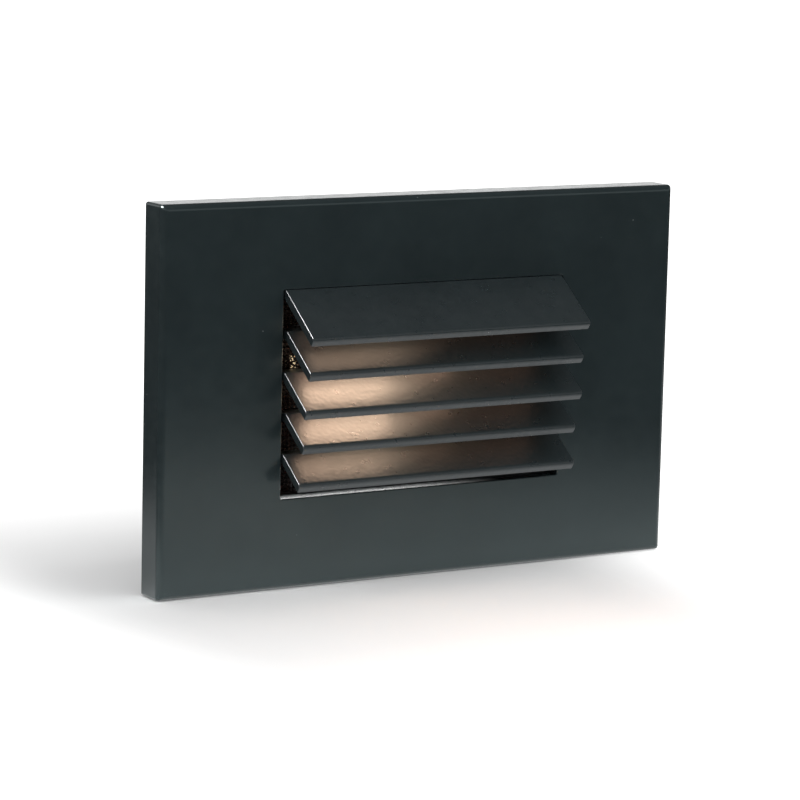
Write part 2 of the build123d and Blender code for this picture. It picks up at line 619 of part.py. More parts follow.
with BuildPart() as driver_board_screws:
    with Locations(wall_plane(DRIVER_BOARD_BACK_Y)):
        with GridLocations(DRIVER_SCREW_SPACING_X, DRIVER_SCREW_SPACING_Z, 2, 2):
            pan_head_screw(M25_RADIUS, BOARD_SCREW_LENGTH, M25_HEAD_RADIUS, M25_HEAD_HEIGHT)
driver_board_screws.part.label = "driver_board_screws"
export_step(driver_board_screws.part, "parts/driver_board_screws.step")

with BuildPart() as driver_transformer:
    for width, height, depth in (TRANSFORMER_SIZE, TRANSFORMER_COIL_SIZE):
        with BuildSketch(wall_plane(DRIVER_BOARD_BACK_Y + depth)):
            with Locations(TRANSFORMER_CENTRE):
                Rectangle(width, height)
        extrude(amount=depth)
driver_transformer.part.label = "driver_transformer"
export_step(driver_transformer.part, "parts/driver_transformer.step")

with BuildPart() as driver_capacitors:
    with BuildSketch(wall_plane(DRIVER_BOARD_BACK_Y + CAPACITOR_HEIGHT)):
        with Locations(*CAPACITOR_PLACES):
            Circle(CAPACITOR_RADIUS)
    extrude(amount=CAPACITOR_HEIGHT)
    capacitor_tops = driver_capacitors.faces().group_by(Axis.Y)[-1]
    fillet(capacitor_tops.edges(), radius=CAPACITOR_EDGE)
driver_capacitors.part.label = "driver_capacitors"
export_step(driver_capacitors.part, "parts/driver_capacitors.step")

with BuildPart() as driver_rectifier:
    with BuildSketch(wall_plane(DRIVER_BOARD_BACK_Y + RECTIFIER_SIZE[2])):
        with Locations(RECTIFIER_CENTRE):
            Rectangle(RECTIFIER_SIZE[0], RECTIFIER_SIZE[1])
    extrude(amount=RECTIFIER_SIZE[2])
driver_rectifier.part.label = "driver_rectifier"
export_step(driver_rectifier.part, "parts/driver_rectifier.step")

with BuildPart() as driver_choke:
    with BuildSketch(wall_plane(DRIVER_BOARD_BACK_Y + CHOKE_HEIGHT)):
        with Locations(CHOKE_CENTRE):
            Circle(CHOKE_WINDING_RADIUS)
    extrude(amount=CHOKE_HEIGHT)
    for flange_y in (DRIVER_BOARD_BACK_Y + CHOKE_FLANGE, DRIVER_BOARD_BACK_Y + CHOKE_HEIGHT):
        with BuildSketch(wall_plane(flange_y)):
            with Locations(CHOKE_CENTRE):
                Circle(CHOKE_RADIUS)
        extrude(amount=CHOKE_FLANGE)
driver_choke.part.label = "driver_choke"
export_step(driver_choke.part, "parts/driver_choke.step")

with BuildPart() as input_terminal:
    with BuildSketch(wall_plane(DRIVER_BOARD_BACK_Y + TERMINAL_SIZE[2])):
        with Locations(TERMINAL_CENTRE):
            Rectangle(TERMINAL_SIZE[0], TERMINAL_SIZE[1])
    extrude(amount=TERMINAL_SIZE[2])
    with BuildSketch(wall_plane(DRIVER_BOARD_BACK_Y + TERMINAL_SIZE[2])):
        with Locations(TERMINAL_CENTRE):
            with GridLocations(0, TERMINAL_POLE_PITCH, 1, LEAD_COUNT):
                Circle(TERMINAL_ENTRY_RADIUS)
    extrude(amount=TERMINAL_ENTRY_DEPTH, mode=Mode.SUBTRACT)
input_terminal.part.label = "input_terminal"
export_step(input_terminal.part, "parts/input_terminal.step")

with BuildPart() as led_connector:
    with BuildSketch(wall_plane(DRIVER_BOARD_BACK_Y + CONNECTOR_SIZE[2])):
        with Locations(CONNECTOR_CENTRE):
            Rectangle(CONNECTOR_SIZE[0], CONNECTOR_SIZE[1])
    extrude(amount=CONNECTOR_SIZE[2])
led_connector.part.label = "led_connector"
export_step(led_connector.part, "parts/led_connector.step")

# ---------------------------------------------------------------- leads to the light engine

wire_start_y = LED_BOARD_FRONT_Y - WIRE_SOLDER_LENGTH
wire_turn_y = DRIVER_BOARD_BACK_Y + CONNECTOR_SIZE[2] / 2
connector_face_x = CONNECTOR_CENTRE[0] + CONNECTOR_SIZE[0] / 2

for node, side in (("led_wire_positive", 1), ("led_wire_negative", -1)):
    wire_z = side * WIRE_PITCH / 2
    with BuildPart() as led_wire:
        with BuildLine() as route:
            FilletPolyline(
                (WIRE_HOLE_X, wire_start_y, wire_z),
                (WIRE_HOLE_X, wire_turn_y, wire_z),
                (connector_face_x, wire_turn_y, wire_z),
                radius=WIRE_BEND_RADIUS,
            )
        with BuildSketch(Plane(origin=route.line @ 0, z_dir=route.line % 0)):
            Circle(WIRE_RADIUS)
        sweep(path=route.line)
    led_wire.part.label = node
    export_step(led_wire.part, f"parts/{node}.step")

with BuildPart() as wire_grommet:
    with BuildSketch(wall_plane(MIDDLE_WALL_BACK_Y)):
        with Locations((WIRE_HOLE_X, 0)):
            Circle(WIRE_BUSH_RADIUS)
    extrude(amount=MIDDLE_WALL)
    with BuildSketch(wall_plane(MIDDLE_WALL_BACK_Y + WIRE_BUSH_FLANGE)):
        with Locations((WIRE_HOLE_X, 0)):
            Circle(WIRE_BUSH_FLANGE_RADIUS)
    extrude(amount=WIRE_BUSH_FLANGE)
    with BuildSketch(wall_plane(MIDDLE_WALL_BACK_Y + WIRE_BUSH_FLANGE)):
        with Locations((WIRE_HOLE_X, 0)):
            with GridLocations(0, WIRE_PITCH, 1, 2):
                Circle(WIRE_RADIUS)
    extrude(amount=MIDDLE_WALL + WIRE_BUSH_FLANGE, mode=Mode.SUBTRACT)
wire_grommet.part.label = "wire_grommet"
export_step(wire_grommet.part, "parts/wire_grommet.step")

# ---------------------------------------------------------------- rear cover

with BuildPart() as rear_cover_gasket:
    with BuildSketch(wall_plane(COVER_FRONT_Y)):
        RectangleRounded(HOUSING_WIDTH, HOUSING_HEIGHT, HOUSING_CORNER_RADIUS)
        Rectangle(DRIVER_WIDTH, DRIVER_HEIGHT, mode=Mode.SUBTRACT)
        with GridLocations(COVER_POST_SPACING_X, COVER_POST_SPACING_Z, 2, 2):
            Circle(COVER_POST_RADIUS)
        with GridLocations(COVER_POST_SPACING_X, COVER_POST_SPACING_Z, 2, 2):
            Circle(M3_RADIUS, mode=Mode.SUBTRACT)
    extrude(amount=COVER_GASKET_THICKNESS)
rear_cover_gasket.part.label = "rear_cover_gasket"
export_step(rear_cover_gasket.part, "parts/rear_cover_gasket.step")

with BuildPart() as rear_cover:
    with BuildSketch(wall_plane(COVER_BACK_Y)):
        RectangleRounded(HOUSING_WIDTH, HOUSING_HEIGHT, HOUSING_CORNER_RADIUS)
        with GridLocations(COVER_POST_SPACING_X, COVER_POST_SPACING_Z, 2, 2):
            Circle(M3_RADIUS, mode=Mode.SUBTRACT)
        with Locations((LEAD_BUSH_X, 0)):
            Circle(LEAD_BUSH_RADIUS, mode=Mode.SUBTRACT)
    extrude(amount=COVER_THICKNESS)
rear_cover.part.label = "rear_cover"
export_step(rear_cover.part, "parts/rear_cover.step")

with BuildPart() as rear_cover_screws:
    with Locations(wall_plane(COVER_BACK_Y)):
        with GridLocations(COVER_POST_SPACING_X, COVER_POST_SPACING_Z, 2, 2):
            pan_head_screw(M3_RADIUS, COVER_SCREW_LENGTH, M3_HEAD_RADIUS, M3_HEAD_HEIGHT)
rear_cover_screws.part.label = "rear_cover_screws"
export_step(rear_cover_screws.part, "parts/rear_cover_screws.step")

with BuildPart() as lead_grommet:
    with BuildSketch(wall_plane(COVER_BACK_Y)):
        with Locations((LEAD_BUSH_X, 0)):
            Circle(LEAD_BUSH_RADIUS)
    extrude(amount=COVER_THICKNESS)
    for flange_y in (COVER_FRONT_Y, COVER_BACK_Y + LEAD_BUSH_FLANGE):
        with BuildSketch(wall_plane(flange_y)):
            with Locations((LEAD_BUSH_X, 0)):
                Circle(LEAD_BUSH_FLANGE_RADIUS)
        extrude(amount=LEAD_BUSH_FLANGE)
    with BuildSketch(wall_plane(COVER_BACK_Y + LEAD_BUSH_FLANGE)):
        with Locations((LEAD_BUSH_X, 0)):
            with PolarLocations(LEAD_BORE_CIRCLE, LEAD_COUNT, start_angle=90):
                Circle(LEAD_BORE_RADIUS)
    extrude(amount=COVER_THICKNESS + 2 * LEAD_BUSH_FLANGE, mode=Mode.SUBTRACT)
lead_grommet.part.label = "lead_grommet"
export_step(lead_grommet.part, "parts/lead_grommet.step")

# ---------------------------------------------------------------- wall bracket

lip_depth = WALL_Y - LIP_FRONT_Y

with BuildPart() as mounting_bracket:
    with BuildSketch(wall_plane(WALL_Y)):
        RectangleRounded(BRACKET_WIDTH, BRACKET_HEIGHT, BRACKET_CORNER_RADIUS)
    extrude(amount=BRACKET_SHEET)
    with BuildSketch(wall_plane(WALL_Y)):
        with GridLocations(0, BRACKET_HEIGHT - BRACKET_SHEET, 1, 2):
            Rectangle(BRACKET_LIP_WIDTH, BRACKET_SHEET)
    extrude(amount=lip_depth)
    back_edges = mounting_bracket.edges().filter_by(Axis.X).group_by(Axis.Y)[-1]
    bend_edges = back_edges.sort_by(Axis.Z)
    fillet((bend_edges[0], bend_edges[-1]), radius=BRACKET_BEND_ROUND)
    with BuildSketch(wall_plane(WALL_Y)):
        Rectangle(BRACKET_OPENING_WIDTH, BRACKET_OPENING_HEIGHT)
        with GridLocations(BOX_SCREW_SPACING, 0, 2, 1):
            SlotOverall(BOX_SLOT_LENGTH, BOX_SLOT_WIDTH)
        with GridLocations(CORNER_HOLE_SPACING_X, CORNER_HOLE_SPACING_Z, 2, 2):
            Circle(CORNER_HOLE_RADIUS)
        with Locations(GROUND_SCREW_PLACE):
            Circle(GROUND_SCREW_RADIUS)
    extrude(amount=BRACKET_SHEET, mode=Mode.SUBTRACT)
mounting_bracket.part.label = "mounting_bracket"
export_step(mounting_bracket.part, "parts/mounting_bracket.step")

with BuildPart() as ground_screw:
    with BuildSketch(wall_plane(WALL_Y)):
        with Locations(GROUND_SCREW_PLACE):
            Circle(GROUND_SCREW_RADIUS)
    extrude(amount=BRACKET_SHEET)
    with BuildSketch(wall_plane(WALL_Y - BRACKET_SHEET)):
        with Locations(GROUND_SCREW_PLACE):
            RegularPolygon(GROUND_HEAD_RADIUS, 6)
    extrude(amount=GROUND_HEAD_HEIGHT)
ground_screw.part.label = "ground_screw"
export_step(ground_screw.part, "parts/ground_screw.step")

# ---------------------------------------------------------------- set screws

set_screw_tip_z = -BRACKET_HEIGHT / 2 - SET_SCREW_TIP_GAP

with BuildPart() as set_screws:
    with BuildSketch(Plane.XY.offset(set_screw_tip_z - SET_SCREW_LENGTH)):
        with Locations((0, set_screw_y)):
            with GridLocations(SET_SCREW_SPACING, 0, 2, 1):
                Circle(M3_RADIUS)
    extrude(amount=SET_SCREW_LENGTH)
    with BuildSketch(Plane.XY.offset(set_screw_tip_z - SET_SCREW_LENGTH)):
        with Locations((0, set_screw_y)):
            with GridLocations(SET_SCREW_SPACING, 0, 2, 1):
                RegularPolygon(SET_SCREW_SOCKET_RADIUS, 6)
    extrude(amount=SET_SCREW_SOCKET_DEPTH, mode=Mode.SUBTRACT)
set_screws.part.label = "set_screws"
export_step(set_screws.part, "parts/set_screws.step")
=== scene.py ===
"""Looks of the louvred step light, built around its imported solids.

Metres, in the part's own frame: the wall plane is Y = 0, the room is towards -Y and +Z is up.
"""

import json
import math

import bmesh
import bpy
from mathutils import Matrix, Vector

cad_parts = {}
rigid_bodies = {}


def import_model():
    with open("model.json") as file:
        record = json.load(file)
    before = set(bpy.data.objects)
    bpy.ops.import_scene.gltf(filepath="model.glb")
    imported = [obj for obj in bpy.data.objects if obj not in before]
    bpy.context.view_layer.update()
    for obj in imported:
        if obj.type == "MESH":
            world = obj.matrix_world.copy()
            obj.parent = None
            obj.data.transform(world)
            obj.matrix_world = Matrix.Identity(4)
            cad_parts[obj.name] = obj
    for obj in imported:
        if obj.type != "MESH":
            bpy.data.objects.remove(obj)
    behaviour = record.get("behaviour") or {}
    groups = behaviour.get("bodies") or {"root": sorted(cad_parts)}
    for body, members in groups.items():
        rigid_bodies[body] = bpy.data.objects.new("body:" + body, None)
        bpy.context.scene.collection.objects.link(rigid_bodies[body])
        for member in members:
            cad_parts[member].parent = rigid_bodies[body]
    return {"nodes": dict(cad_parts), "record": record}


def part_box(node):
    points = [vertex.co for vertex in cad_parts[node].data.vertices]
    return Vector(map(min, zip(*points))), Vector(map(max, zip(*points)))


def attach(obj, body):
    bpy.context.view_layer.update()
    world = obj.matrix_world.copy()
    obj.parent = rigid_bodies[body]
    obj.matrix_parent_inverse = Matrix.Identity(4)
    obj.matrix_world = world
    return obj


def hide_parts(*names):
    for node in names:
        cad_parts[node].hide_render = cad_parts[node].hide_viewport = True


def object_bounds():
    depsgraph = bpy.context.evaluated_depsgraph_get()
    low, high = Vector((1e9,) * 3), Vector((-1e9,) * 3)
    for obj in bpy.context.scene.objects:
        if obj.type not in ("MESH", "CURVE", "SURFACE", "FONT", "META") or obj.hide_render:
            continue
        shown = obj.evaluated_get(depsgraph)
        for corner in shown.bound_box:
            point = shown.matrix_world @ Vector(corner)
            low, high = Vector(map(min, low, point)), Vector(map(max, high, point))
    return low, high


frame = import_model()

MM = 0.001
WHITE = (1.0, 1.0, 1.0)

for spare in [thing for thing in bpy.data.objects if thing.name in ("Cube", "Light", "Camera")]:
    bpy.data.objects.remove(spare)
cad_low, cad_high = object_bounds()

plate_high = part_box("faceplate")[1]
lens_low, lens_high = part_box("lens")
# The blades' plate thickness and their slope against the horizontal, as the solids have them
BLADE_THICKNESS = 1.9 * MM
BLADE_ANGLE = math.radians(36.0)


def put_in_scene(name, data):
    """New object that holds this mesh, lamp or camera."""
    thing = bpy.data.objects.new(name, data)
    bpy.context.scene.collection.objects.link(thing)
    return thing


# ---------------------------------------------------------------- camera

CAMERA_TARGET = Vector((-6.032, -7.5, -2.555)) * MM
CAMERA_AZIMUTH = math.radians(-31.309)
CAMERA_ELEVATION = math.radians(9.351)
CAMERA_ROLL = math.radians(1.362)
CAMERA_DISTANCE = 744.83 * MM
# Focal length and sensor width, in millimetres
CAMERA_LENS = 157.05
CAMERA_SENSOR = 36.0
CAMERA_CLIP = (0.05, 20.0)


def add_camera():
    """Camera on the photograph's axis, with its small roll."""
    back = Vector((
        math.sin(CAMERA_AZIMUTH) * math.cos(CAMERA_ELEVATION),
        -math.cos(CAMERA_AZIMUTH) * math.cos(CAMERA_ELEVATION),
        math.sin(CAMERA_ELEVATION),
    ))
    data = bpy.data.cameras.new("photo_camera")
    data.lens = CAMERA_LENS
    data.sensor_width = CAMERA_SENSOR
    data.clip_start, data.clip_end = CAMERA_CLIP
    camera = put_in_scene("photo_camera", data)
    camera.rotation_mode = "QUATERNION"
    camera.location = CAMERA_TARGET + back * CAMERA_DISTANCE
    level = (-back).to_track_quat("-Z", "Y")
    roll = Matrix.Rotation(CAMERA_ROLL, 4, back).to_quaternion()
    camera.rotation_quaternion = roll @ level
    bpy.context.scene.camera = camera


# ---------------------------------------------------------------- node helpers

# Which sockets of a mix node take and give numbers, and which take and give colours
MIX_SOCKETS = {"FLOAT": (2, 3, 0), "RGBA": (6, 7, 2)}
# Stretches of a noise's values that a finish spreads out: most of them, and those in the middle
NOISE_MOST = (0.3, 0.7)
NOISE_MIDDLE = (0.35, 0.65)


class Nodes:
    """A node tree, with short calls for the nodes that the finishes and the studio share."""

    def __init__(self, tree):
        self.nodes = tree.nodes
        self.links = tree.links

    def join(self, source, socket):
        self.links.new(source, socket)

    def span(self, source, low, high, to_low=0.0, to_high=1.0, smooth=False):
        """Maps low..high of a value to to_low..to_high, clamped."""
        node = self.nodes.new("ShaderNodeMapRange")
        node.interpolation_type = "SMOOTHSTEP" if smooth else "LINEAR"
        self.join(source, node.inputs["Value"])
        for name, value in (
            ("From Min", low), ("From Max", high), ("To Min", to_low), ("To Max", to_high),
        ):
            node.inputs[name].default_value = value
        return node.outputs["Result"]

    def math(self, operation, first, second=0.0):
        """Math node on sockets or numbers."""
        node = self.nodes.new("ShaderNodeMath")
        node.operation = operation
        for socket, value in zip(node.inputs, (first, second)):
            if isinstance(value, (int, float)):
                socket.default_value = value
            else:
                self.join(value, socket)
        return node.outputs["Value"]

    def add(self, first, second):
        return self.math("ADD", first, second)

    def times(self, first, second):
        return self.math("MULTIPLY", first, second)

    def larger(self, first, second):
        return self.math("MAXIMUM", first, second)

    def apart(self, first, second):
        """How far two numbers are from each other."""
        return self.math("ABSOLUTE", self.math("SUBTRACT", first, second))

    def mix(self, kind, amount, first, second):
        """Value between first and second, by amount: numbers (FLOAT) or colours (RGBA)."""
        node = self.nodes.new("ShaderNodeMix")
        node.data_type = kind
        low, high, result = MIX_SOCKETS[kind]
        self.join(amount, node.inputs[0])
        for index, value in ((low, first), (high, second)):
            if isinstance(value, tuple):
                node.inputs[index].default_value = (*value, 1.0)
            else:
                self.join(value, node.inputs[index])
        return node.outputs[result]

    def parts(self, source):
        """The three numbers of a vector."""
        node = self.nodes.new("ShaderNodeSeparateXYZ")
        self.join(source, node.inputs["Vector"])
        return node.outputs["X"], node.outputs["Y"], node.outputs["Z"]

    def rays(self):
        """What kind of ray is looking."""
        return self.nodes.new("ShaderNodeLightPath").outputs


class Shading(Nodes):
    """One material's nodes around its Principled shader."""

    def __init__(self, name):
        self.material = bpy.data.materials.new(name)
        self.material.use_nodes = True
        super().__init__(self.material.node_tree)
        self.shader = self.nodes["Principled BSDF"]
        self.place = self.nodes.new("ShaderNodeTexCoord").outputs["Object"]

    def set(self, **values):
        """Sets the shader's own sockets; a name's underscores stand for spaces."""
        for name, value in values.items():
            self.shader.inputs[name.replace("_", " ")].default_value = value

    def scaled(self, stretch):
        """Object coordinates stretched along the three axes."""
        mapping = self.nodes.new("ShaderNodeMapping")
        mapping.inputs["Scale"].default_value = stretch
        self.join(self.place, mapping.inputs["Vector"])
        return mapping.outputs["Vector"]

    def noise(self, grain, detail=2.0, stretch=None, distortion=0.0):
        """Noise whose features are about grain metres across."""
        node = self.nodes.new("ShaderNodeTexNoise")
        node.inputs["Scale"].default_value = 1.0 / grain
        node.inputs["Detail"].default_value = detail
        node.inputs["Distortion"].default_value = distortion
        self.join(self.scaled(stretch) if stretch else self.place, node.inputs["Vector"])
        return node.outputs["Fac"]

    def cells(self, grain, output="Distance", feature="F1"):
        """Voronoi cells about grain metres across."""
        node = self.nodes.new("ShaderNodeTexVoronoi")
        node.feature = feature
        node.inputs["Scale"].default_value = 1.0 / grain
        self.join(self.place, node.inputs["Vector"])
        return node.outputs[output]

    def axis(self, name):
        """One of the object coordinates X, Y or Z."""
        return self.parts(self.place)["XYZ".index(name)]

    def tint(self, amount, first, second):
        """Colour between first and second, by amount."""
        return self.mix("RGBA", amount, first, second)

    def colour(self, source):
        self.join(source, self.shader.inputs["Base Color"])

    def rough(self, source):
        self.join(source, self.shader.inputs["Roughness"])

    def lit(self, colour):
        self.join(colour, self.shader.inputs["Emission Color"])

    def bump(self, height, depth, strength=1.0, below=None):
        """Bump of depth metres; below is the normal of a coarser bump under this one."""
        node = self.nodes.new("ShaderNodeBump")
        node.inputs["Distance"].default_value = depth
        node.inputs["Strength"].default_value = strength
        self.join(height, node.inputs["Height"])
        if below is not None:
            self.join(below, node.inputs["Normal"])
        self.join(node.outputs["Normal"], self.shader.inputs["Normal"])
        return node.outputs["Normal"]


# ---------------------------------------------------------------- painted finishes

CHARCOAL_DARK = (0.0128, 0.0196, 0.0216)
CHARCOAL_LIGHT = (0.0156, 0.0236, 0.0258)
DUST = (0.16, 0.17, 0.17)
CASTING_GLOSS = (0.84, 1.0, 1.0, 1.0)
BLADE_GLOSS = (0.97, 0.98, 1.0, 1.0)
# Sizes of the paint's clouds, mottle and waves, and how far the mottle shifts its roughness
PAINT_CLOUD = 18.0 * MM
PAINT_MOTTLE = 2.2 * MM
PAINT_WAVE = 2.6 * MM
MOTTLE_ROUGHNESS = 0.03
# Dust: how far apart its specks are, and their edge in shares of that distance
SPECK_SPACING = 6.5 * MM
SPECK_EDGE = (0.012, 0.022)


def powder_coat(
    name, roughness, gloss=CASTING_GLOSS, grain=0.45 * MM, relief=0.004 * MM, swell=0.008 * MM,
):
    """Semi-gloss powder coat: faint cloudiness, fine orange peel and a few specks of dust."""
    paint = Shading(name)
    cloud = paint.span(paint.noise(PAINT_CLOUD, detail=3.0), *NOISE_MIDDLE)
    body = paint.tint(cloud, CHARCOAL_DARK, CHARCOAL_LIGHT)
    speck = paint.span(paint.cells(SPECK_SPACING), *SPECK_EDGE, 1.0, 0.0)
    paint.colour(paint.tint(speck, body, DUST))
    mottle = (roughness - MOTTLE_ROUGHNESS, roughness + MOTTLE_ROUGHNESS)
    paint.rough(paint.span(paint.noise(PAINT_MOTTLE), *NOISE_MOST, *mottle))
    waves = paint.bump(paint.noise(PAINT_WAVE, detail=1.0), swell, 0.6) if swell else None
    paint.bump(paint.noise(grain, detail=0.0), relief, 0.8, below=waves)
    paint.set(IOR=1.5, Specular_Tint=gloss)
    return paint.material


def painted_casting(name):
    return powder_coat(name, roughness=0.24)


def painted_blades(name):
    return powder_coat(
        name, roughness=0.30, gloss=BLADE_GLOSS, grain=0.9 * MM, relief=0.045 * MM, swell=0.0,
    )


def painted_frame(name):
    return powder_coat(name, roughness=0.4)


# ---------------------------------------------------------------- rubber and foam


def rubber(name, colour, roughness=0.62, grain=0.6 * MM, relief=0.01 * MM):
    """Moulded rubber: dark, with a fine even texture and a paler bloom in patches."""
    skin = Shading(name)
    bloom = skin.span(skin.noise(5.0 * MM, detail=3.0), 0.45, 0.75)
    pale = tuple(channel * 1.8 + 0.01 for channel in colour)
    skin.colour(skin.tint(bloom, colour, pale))
    skin.rough(skin.span(bloom, 0.0, 1.0, roughness, roughness + 0.15))
    skin.bump(skin.noise(grain, detail=3.0), relief)
    return skin.material


def gasket_rubber(name):
    return rubber(name, (0.012, 0.012, 0.013))


def grommet_rubber(name):
    return rubber(name, (0.009, 0.009, 0.009), roughness=0.5, relief=0.006 * MM)


def thermal_pad(name):
    return rubber(name, (0.16, 0.19, 0.24), roughness=0.75, grain=0.3 * MM)


def foam(name):
    """Closed-cell foam: small open pores in its cut faces."""
    pore_grey = (0.022, 0.022, 0.023)
    wall_black = (0.008, 0.008, 0.008)
    skin = Shading(name)
    height = skin.cells(0.7 * MM)
    skin.colour(skin.tint(skin.span(height, 0.1, 0.6), pore_grey, wall_black))
    skin.set(Roughness=0.92)
    skin.bump(height, 0.12 * MM, 0.8)
    return skin.material


# ---------------------------------------------------------------- metals


def cast_aluminium(name):
    """Sand-textured die casting with flow marks and slightly darker patches."""
    pale = (0.50, 0.51, 0.52)
    dark = (0.36, 0.37, 0.385)
    skin = Shading(name)
    flow = skin.noise(14.0 * MM, detail=4.0, distortion=1.2)
    skin.colour(skin.tint(skin.span(flow, 0.35, 0.7), pale, dark))
    grit = skin.noise(0.35 * MM, detail=3.0)
    skin.rough(skin.span(grit, *NOISE_MOST, 0.42, 0.6))
    skin.set(Metallic=1.0)
    swell = skin.bump(flow, 0.05 * MM, 0.5)
    skin.bump(grit, 0.02 * MM, 0.7, below=swell)
    return skin.material


def cover_sheet(name):
    """Aluminium sheet with fine rolling lines along X and a few smudges."""
    pale = (0.62, 0.63, 0.64)
    dark = (0.48, 0.49, 0.50)
    skin = Shading(name)
    lines = skin.noise(0.25 * MM, detail=3.0, stretch=(0.02, 1.0, 1.0))
    skin.colour(skin.tint(skin.span(lines, *NOISE_MOST), pale, dark))
    smudge = skin.span(skin.noise(12.0 * MM), *NOISE_MOST, 0.26, 0.38)
    skin.rough(skin.add(smudge, skin.span(lines, *NOISE_MOST, -0.04, 0.04)))
    skin.set(Metallic=1.0)
    skin.bump(lines, 0.008 * MM, 0.6)
    return skin.material


def zinc_sheet(name):
    """Zinc-plated steel: faint spangle, yellowish haze and fine rolling lines."""
    dark = (0.52, 0.53, 0.54)
    pale = (0.61, 0.62, 0.62)
    yellowish = (0.50, 0.49, 0.43)
    skin = Shading(name)
    grey = skin.nodes.new("ShaderNodeRGBToBW")
    skin.join(skin.cells(4.0 * MM, output="Color"), grey.inputs["Color"])
    flake = skin.span(grey.outputs["Val"], 0.2, 0.8)
    haze = skin.span(skin.noise(16.0 * MM, detail=3.0), 0.4, 0.7)
    spangle = skin.tint(flake, dark, pale)
    skin.colour(skin.tint(skin.times(haze, 0.5), spangle, yellowish))
    skin.rough(skin.add(skin.span(flake, 0.0, 1.0, 0.28, 0.36), skin.times(haze, 0.08)))
    skin.set(Metallic=1.0)
    skin.bump(skin.noise(0.3 * MM, stretch=(0.04, 1.0, 1.0)), 0.006 * MM, 0.5)
    return skin.material


def plated_screw(name, colour, worn, metallic=1.0, roughness=0.28):
    """Plated screw, with duller patches where the plating is thin."""
    skin = Shading(name)
    patch = skin.span(skin.noise(1.4 * MM, detail=3.0), 0.4, 0.7)
    skin.colour(skin.tint(patch, colour, worn))
    skin.rough(skin.span(patch, 0.0, 1.0, roughness, roughness + 0.16))
    skin.set(Metallic=metallic)
    skin.bump(skin.noise(0.25 * MM), 0.005 * MM, 0.5)
    return skin.material


def zinc_screws(name):
    return plated_screw(name, (0.66, 0.67, 0.68), (0.48, 0.48, 0.46))


def black_screws(name):
    return plated_screw(name, (0.03, 0.03, 0.032), (0.055, 0.055, 0.055), metallic=0.6, roughness=0.38)


def green_screw(name):
    return plated_screw(name, (0.02, 0.30, 0.10), (0.03, 0.20, 0.08), metallic=0.7, roughness=0.3)


# ---------------------------------------------------------------- plastics and electronics


def moulding(name, colour, shade, roughness=0.4, relief=0.004 * MM):
    """Moulded plastic: slight shading differences and a fine spark-eroded texture."""
    skin = Shading(name)
    skin.colour(skin.tint(skin.span(skin.noise(6.0 * MM), *NOISE_MIDDLE), colour, shade))
    grit = skin.noise(0.5 * MM)
    skin.rough(skin.span(grit, *NOISE_MOST, roughness - 0.04, roughness + 0.06))
    skin.bump(grit, relief)
    return skin.material


def reflector_white(name):
    return moulding(name, (0.80, 0.80, 0.78), (0.74, 0.74, 0.72), roughness=0.45)


def black_epoxy(name):
    return moulding(name, (0.012, 0.012, 0.013), (0.02, 0.02, 0.021), roughness=0.45)


def ferrite(name):
    return moulding(name, (0.035, 0.036, 0.038), (0.06, 0.061, 0.064), roughness=0.5, relief=0.01 * MM)


def terminal_plastic(name):
    return moulding(name, (0.03, 0.20, 0.07), (0.022, 0.15, 0.05), roughness=0.38)


def connector_plastic(name):
    return moulding(name, (0.78, 0.77, 0.70), (0.72, 0.70, 0.62), roughness=0.42)


def wire_red(name):
    return moulding(name, (0.50, 0.012, 0.010), (0.38, 0.010, 0.008), roughness=0.36)


def wire_black(name):
    return moulding(name, (0.014, 0.014, 0.015), (0.022, 0.022, 0.023), roughness=0.36)


# Where a board's tracks end, in shares of the pitch of their net
TRACK_EDGE = (0.10, 0.16)


def board(name, resist, track, pitch=3.2 * MM):
    """Printed board: tracks show as a slightly different shade under the solder resist."""
    skin = Shading(name)
    net = skin.cells(pitch, feature="DISTANCE_TO_EDGE")
    copper = skin.span(net, *TRACK_EDGE, 1.0, 0.0)
    skin.colour(skin.tint(copper, resist, track))
    skin.rough(skin.span(skin.noise(1.5 * MM), *NOISE_MOST, 0.26, 0.36))
    skin.bump(copper, 0.03 * MM, 0.6)
    return skin.material


def led_board(name):
    return board(name, (0.80, 0.80, 0.77), (0.72, 0.73, 0.70), pitch=6.0 * MM)


def driver_board(name):
    return board(name, (0.012, 0.11, 0.035), (0.03, 0.19, 0.06))


def transformer(name):
    """Dark ferrite core round a coil wrapped in yellow tape, told apart by height."""
    centre_z = 3.5 * MM
    core_half = 5.9 * MM
    skin = Shading(name)
    tape = skin.math("GREATER_THAN", skin.apart(skin.axis("Z"), centre_z), core_half)
    wrap = skin.noise(0.8 * MM, stretch=(0.1, 1.0, 1.0))
    yellow = skin.tint(wrap, (0.62, 0.42, 0.05), (0.74, 0.54, 0.10))
    grey = skin.tint(wrap, (0.04, 0.04, 0.042), (0.07, 0.07, 0.072))
    skin.colour(skin.tint(tape, grey, yellow))
    skin.rough(skin.span(tape, 0.0, 1.0, 0.55, 0.32))
    skin.bump(wrap, 0.02 * MM, 0.5)
    return skin.material


def capacitor_sleeve(name):
    """Blue-black sleeve with a bare aluminium top."""
    top_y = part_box("driver_capacitors")[1].y
    top_depth = 0.35 * MM
    skin = Shading(name)
    bare = skin.math("GREATER_THAN", skin.axis("Y"), top_y - top_depth)
    grain = skin.noise(0.6 * MM)
    sleeve = skin.tint(grain, (0.010, 0.014, 0.05), (0.016, 0.022, 0.075))
    metal = skin.tint(grain, (0.62, 0.62, 0.63), (0.52, 0.52, 0.53))
    skin.colour(skin.tint(bare, sleeve, metal))
    skin.join(bare, skin.shader.inputs["Metallic"])
    skin.rough(skin.span(bare, 0.0, 1.0, 0.34, 0.28))
    skin.bump(grain, 0.006 * MM, 0.5)
    return skin.material


